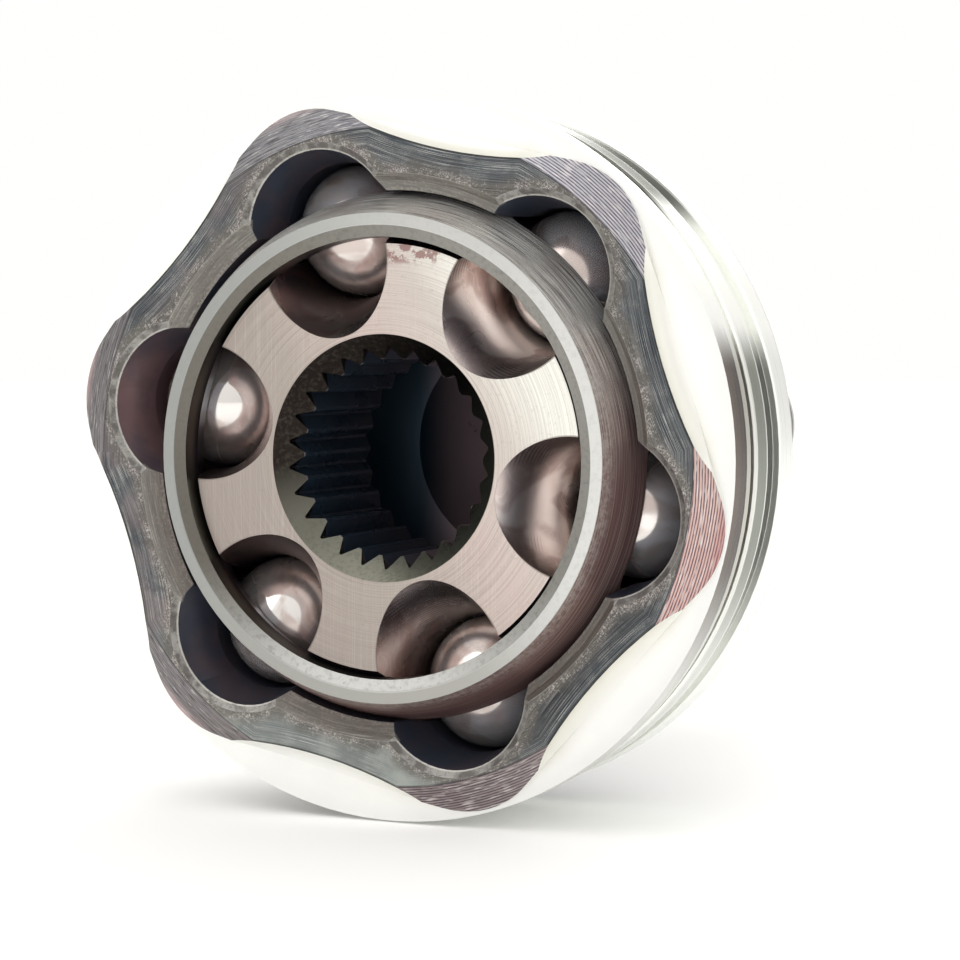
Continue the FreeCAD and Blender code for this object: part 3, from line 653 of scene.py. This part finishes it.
class FinishInnerRace(bpy.types.Operator):
    """Give the inner race its brushed faces, tempered grooves with painted light and shade, and dark splined
    bore in painted shade
    """

    bl_idname = "cvjoint.finish_inner_race"
    bl_label = "Finish inner race"

    def execute(self, context):
        size = sizes()
        metal = Finish("inner_race_steel")
        front = (metal.y - size.hub_front * MM).size()
        back = (metal.y - size.hub_back * MM).size()
        on_face = front.least(back).over(0.06, 0.02).inverted()
        on_chamfer = metal.radius.over(size.bore_edge * MM + 0.02, 0.03).inverted()
        on_chamfer = on_chamfer * front.over(size.bore_chamfer * MM).inverted()
        in_bore = metal.radius.over(size.spline_floor * MM + 0.04, 0.02).inverted()
        on_bore = in_bore * on_chamfer.inverted()
        on_sphere = metal.reach.over(size.hub_radius * MM - 0.12, 0.04)
        lathe = metal.grain(metal.angle, metal.radius * 9.0, stretch=0.012, detail=5.0)
        brush = metal.grain(metal.z + metal.x * 0.25, metal.x * 7.0, stretch=0.05, detail=5.0)
        cloud = metal.noise(metal.metres, 130.0, 3.0)
        speckle = metal.noise(metal.metres, 1700.0, 4.0, 0.7)
        lit_right_side = metal.x.rescaled(-4.0, 14.0, 0.0, 1.0)

        # Faces: brushed, lightest at the upper right, chipped at the top and dark round the grooves' mouths
        lighting = (metal.x * 0.8 + metal.z * 0.5).share(-20.0, 22.0)
        chips = metal.z.over(23.7, 0.5) * metal.x.within(-3.0, 8.0, 0.6)
        chips = chips * metal.noise(metal.metres, 900.0, 4.0, 0.7).over(0.5, 0.05)
        along, across = fold_to_lobe(metal, size.track_phase)
        first = (along - size.groove_reach * MM) / (size.groove_height * MM)
        second = across / (size.groove_half * MM)
        groove_gap = ((first * first + second * second).root() - 1.0) * (size.groove_half * MM)
        face = metal.layers(
            metal.ramp(lighting, [
                (0.0, (0.38, 0.33, 0.30)), (0.36, (0.43, 0.38, 0.34)), (0.62, (0.60, 0.50, 0.46)),
                (0.82, (0.66, 0.60, 0.55)), (0.96, (0.90, 0.89, 0.82))]),
            (lathe.rescaled(0.42, 0.62, 0.0, 0.28), (0.20, 0.16, 0.15)),
            (brush.rescaled(0.50, 0.72, 0.0, 0.12), (0.95, 0.92, 0.88)),
            (speckle.rescaled(0.55, 0.72, 0.0, 0.22), (0.25, 0.20, 0.19)),
            (chips * 0.8, (0.26, 0.13, 0.12)),
            (groove_gap.within(-0.1, 0.16, 0.05) * 0.7, (0.20, 0.17, 0.15)))

        # Grooves: painted light on the right and upper ones and half of it on the lowest, painted shade on
        # the rest, lighter near the axis, veiled by a brown temper, with fine glints and patches of tool
        # lines
        tool = (metal.y + across * across * 0.05).wave(0.42)
        lit_groove = metal.angle.within(-40.0, 78.0, 14.0) + metal.angle.within(-100.0, -54.0, 12.0) * 0.5
        depth_tone = metal.radius.rescaled(19.0, 28.5, 0.0, 1.0)
        lit_groove_tone = metal.mix(depth_tone, (1.0, 0.93, 0.90), (0.70, 0.54, 0.48))
        shaded_groove_tone = metal.mix(depth_tone, (0.50, 0.42, 0.40), (0.12, 0.085, 0.095))
        veil = metal.noise(metal.metres, 110.0, 1.5, 0.4, 1.6)
        glint = metal.noise(metal.metres, 240.0, 1.0, 0.3, 2.2)
        glint = (glint - 0.5).size().rescaled(0.0, 0.05, 0.25, 0.0) * lit_groove
        lined = metal.noise(metal.metres, 90.0, 1.0).over(0.56, 0.04)
        groove = metal.layers(
            shaded_groove_tone,
            (lit_groove, lit_groove_tone),
            (veil.rescaled(0.47, 0.60, 0.0, 0.5), (0.34, 0.20, 0.18)),
            (glint, (1.0, 0.95, 0.92)),
            (tool.rescaled(0.4, 0.9, 0.0, 0.45) * lined, (0.09, 0.09, 0.12)))

        # Bore: a chamfer with painted shade above and painted light below, and dark teeth in painted shade,
        # lighter on the right by painted light
        # painted light on the chamfer's low side, painted shade on the rest
        lit_low_side = (metal.x * 0.4 - metal.z).share(-5.0, 16.0)
        chamfer = metal.layers(
            (0.020, 0.016, 0.014),
            (lit_low_side, (0.32, 0.32, 0.26)),
            (speckle.rescaled(0.45, 0.68, 0.0, 0.35), (0.09, 0.08, 0.065)))
        # painted shade: the bore dark navy, with painted light making it warmer on the right
        bore = metal.mix(lit_right_side, (0.018, 0.032, 0.05), (0.17, 0.12, 0.13))
        skin = metal.layers(
            groove,
            (on_sphere, (0.34, 0.29, 0.27)),
            (on_face, face),
            (on_chamfer, chamfer),
            (on_bore, bore))
        rough = metal.blend(on_face, 0.28, 0.40) + (cloud - 0.5) * 0.1
        metal.relief(tool * lined * on_face.inverted() * on_sphere.inverted() * in_bore.inverted() * 0.003)
        metal.set(Base_Color=skin, Roughness=rough, Metallic=metal.blend(on_bore, 1.0, 0.3))
        metal.dress("inner_race")
        return {"FINISHED"}


class FinishBalls(bpy.types.Operator):
    """Give the six balls a polished bearing steel with brown patches, partly a faint coat of oil, partly
    painted reflection of the brown surroundings
    """

    bl_idname = "cvjoint.finish_balls"
    bl_label = "Finish balls"

    def execute(self, context):
        colour = colours()
        metal = Finish("bearing_steel")
        oil_and_reflection = metal.noise(metal.metres, 150.0, 3.0, 0.5, 0.8)
        # oil and painted reflection: brown patches that stand for the brown surroundings mirrored in the
        # balls
        skin = metal.mix(oil_and_reflection.rescaled(0.46, 0.60, 0.0, 0.55), colour.ball, (0.50, 0.36, 0.31))
        metal.set(Base_Color=skin, Roughness=oil_and_reflection.rescaled(0.35, 0.7, 0.09, 0.22), Metallic=0.78)
        metal.dress(*["ball_%d" % (index + 1) for index in range(LOBES)])
        return {"FINISHED"}


def add_floor(scene, studio):
    """A round pale floor just below the joint."""
    height = race_low.z - studio.floor_gap
    reach = studio.floor_reach
    turns = [side * math.pi / (FLOOR_SIDES / 2) for side in range(FLOOR_SIDES)]
    rim = [(reach * math.cos(turn), reach * math.sin(turn), height) for turn in turns]
    mesh = bpy.data.meshes.new("studio_floor")
    mesh.from_pydata(rim, [], [tuple(range(FLOOR_SIDES))])
    floor = bpy.data.objects.new("studio_floor", mesh)
    scene.collection.objects.link(floor)
    card = bpy.data.materials.new("studio_card")
    card.use_nodes = True
    shader = card.node_tree.nodes["Principled BSDF"]
    put(card.node_tree, shader.inputs["Base Color"], (0.95, 0.95, 0.94))
    put(card.node_tree, shader.inputs["Roughness"], 0.8)
    put(card.node_tree, shader.inputs["Emission Color"], (1.0, 1.0, 0.99))
    put(card.node_tree, shader.inputs["Emission Strength"], studio.floor_glow)
    mesh.materials.append(card)
    return floor


def add_light(scene, name, place, energy, side):
    """A square lamp that faces the joint centre."""
    data = bpy.data.lights.new(name, "AREA")
    data.energy = energy
    data.size = side
    lamp = bpy.data.objects.new(name, data)
    lamp.location = place
    lamp.rotation_euler = (-Vector(place)).to_track_quat("-Z", "Y").to_euler()
    scene.collection.objects.link(lamp)
    return lamp


def add_sky(scene, studio):
    """A sky that the camera sees as plain white, and the metal as a glow, brighter above and to the left."""
    world = bpy.data.worlds.new("studio_sky")
    world.use_nodes = True
    tree = world.node_tree
    tree.nodes.clear()
    output = tree.nodes.new("ShaderNodeOutputWorld")
    lit = tree.nodes.new("ShaderNodeBackground")
    seen = tree.nodes.new("ShaderNodeBackground")
    choose = tree.nodes.new("ShaderNodeMixShader")
    path = tree.nodes.new("ShaderNodeLightPath")
    place = tree.nodes.new("ShaderNodeTexCoord")
    split = tree.nodes.new("ShaderNodeSeparateXYZ")
    tree.links.new(place.outputs["Generated"], split.inputs[0])
    upward = Field(tree, split.outputs[2])
    leftward = -Field(tree, split.outputs[0])
    glow = (upward * 0.35 + leftward * 0.25).rescaled(-0.5, 0.5, 0.80, 1.05) * studio.sky
    put(tree, lit.inputs["Strength"], glow)
    put(tree, lit.inputs["Color"], (1.0, 0.985, 0.965))
    put(tree, seen.inputs["Color"], (1.0, 1.0, 0.99))
    put(tree, seen.inputs["Strength"], 1.0)
    tree.links.new(path.outputs["Is Camera Ray"], choose.inputs[0])
    tree.links.new(lit.outputs[0], choose.inputs[1])
    tree.links.new(seen.outputs[0], choose.inputs[2])
    tree.links.new(choose.outputs[0], output.inputs["Surface"])
    scene.world = world


def add_camera(scene, studio):
    azimuth = studio.camera_azimuth
    elevation = studio.camera_elevation
    forward = Vector((-math.sin(azimuth) * math.cos(elevation), math.cos(azimuth) * math.cos(elevation),
                      -math.sin(elevation)))
    right = Vector((math.cos(azimuth), math.sin(azimuth), 0.0))
    upright = right.cross(forward)
    data = bpy.data.cameras.new("studio_camera")
    data.sensor_width = 36.0
    data.lens = studio.lens
    data.clip_start = 0.01
    camera = bpy.data.objects.new("studio_camera", data)
    scene.collection.objects.link(camera)
    stand = right * studio.camera_right - upright * studio.camera_down - forward * studio.camera_distance
    turn = Matrix((right, upright, -forward)).transposed()
    camera.matrix_world = Matrix.Translation(stand) @ turn.to_4x4()
    scene.camera = camera


class BuildStudio(bpy.types.Operator):
    """Set the pale floor, the soft lights, the sky and the camera"""

    bl_idname = "cvjoint.build_studio"
    bl_label = "Build studio"

    def execute(self, context):
        scene = context.scene
        studio = scene.studio_settings
        floor = add_floor(scene, studio)
        for light in LIGHTS:
            lamp = add_light(scene, *light)
        add_sky(scene, studio)
        scene.view_settings.view_transform = "Standard"
        add_camera(scene, studio)
        return {"FINISHED"}


OPERATORS = (FinishOuterRace, FinishCage, FinishInnerRace, FinishBalls, BuildStudio)


class JointPanel(bpy.types.Panel):
    """Lists the joint's finishes and the studio"""

    bl_idname = "VIEW3D_PT_cv_joint"
    bl_label = "CV joint"
    bl_space_type = "VIEW_3D"
    bl_region_type = "UI"
    bl_category = "CV Joint"

    def draw(self, context):
        for group in (context.scene.joint_sizes, context.scene.joint_colours, context.scene.studio_settings):
            box = self.layout.box()
            for name in group.bl_rna.properties.keys():
                if name not in ("rna_type", "name"):
                    box.prop(group, name)
        for operator in OPERATORS:
            self.layout.operator(operator.bl_idname)


CLASSES = (JointSizes, JointColours, StudioSettings, *OPERATORS, JointPanel)


def register():
    for item in CLASSES:
        bpy.utils.register_class(item)
    bpy.types.Scene.joint_sizes = bpy.props.PointerProperty(type=JointSizes)
    bpy.types.Scene.joint_colours = bpy.props.PointerProperty(type=JointColours)
    bpy.types.Scene.studio_settings = bpy.props.PointerProperty(type=StudioSettings)


def unregister():
    del bpy.types.Scene.studio_settings
    del bpy.types.Scene.joint_colours
    del bpy.types.Scene.joint_sizes
    for item in reversed(CLASSES):
        bpy.utils.unregister_class(item)


def main():
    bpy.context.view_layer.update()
    register()
    bpy.ops.cvjoint.finish_outer_race()
    bpy.ops.cvjoint.finish_cage()
    bpy.ops.cvjoint.finish_inner_race()
    bpy.ops.cvjoint.finish_balls()
    bpy.ops.cvjoint.build_studio()


if __name__ == "__main__":
    main()
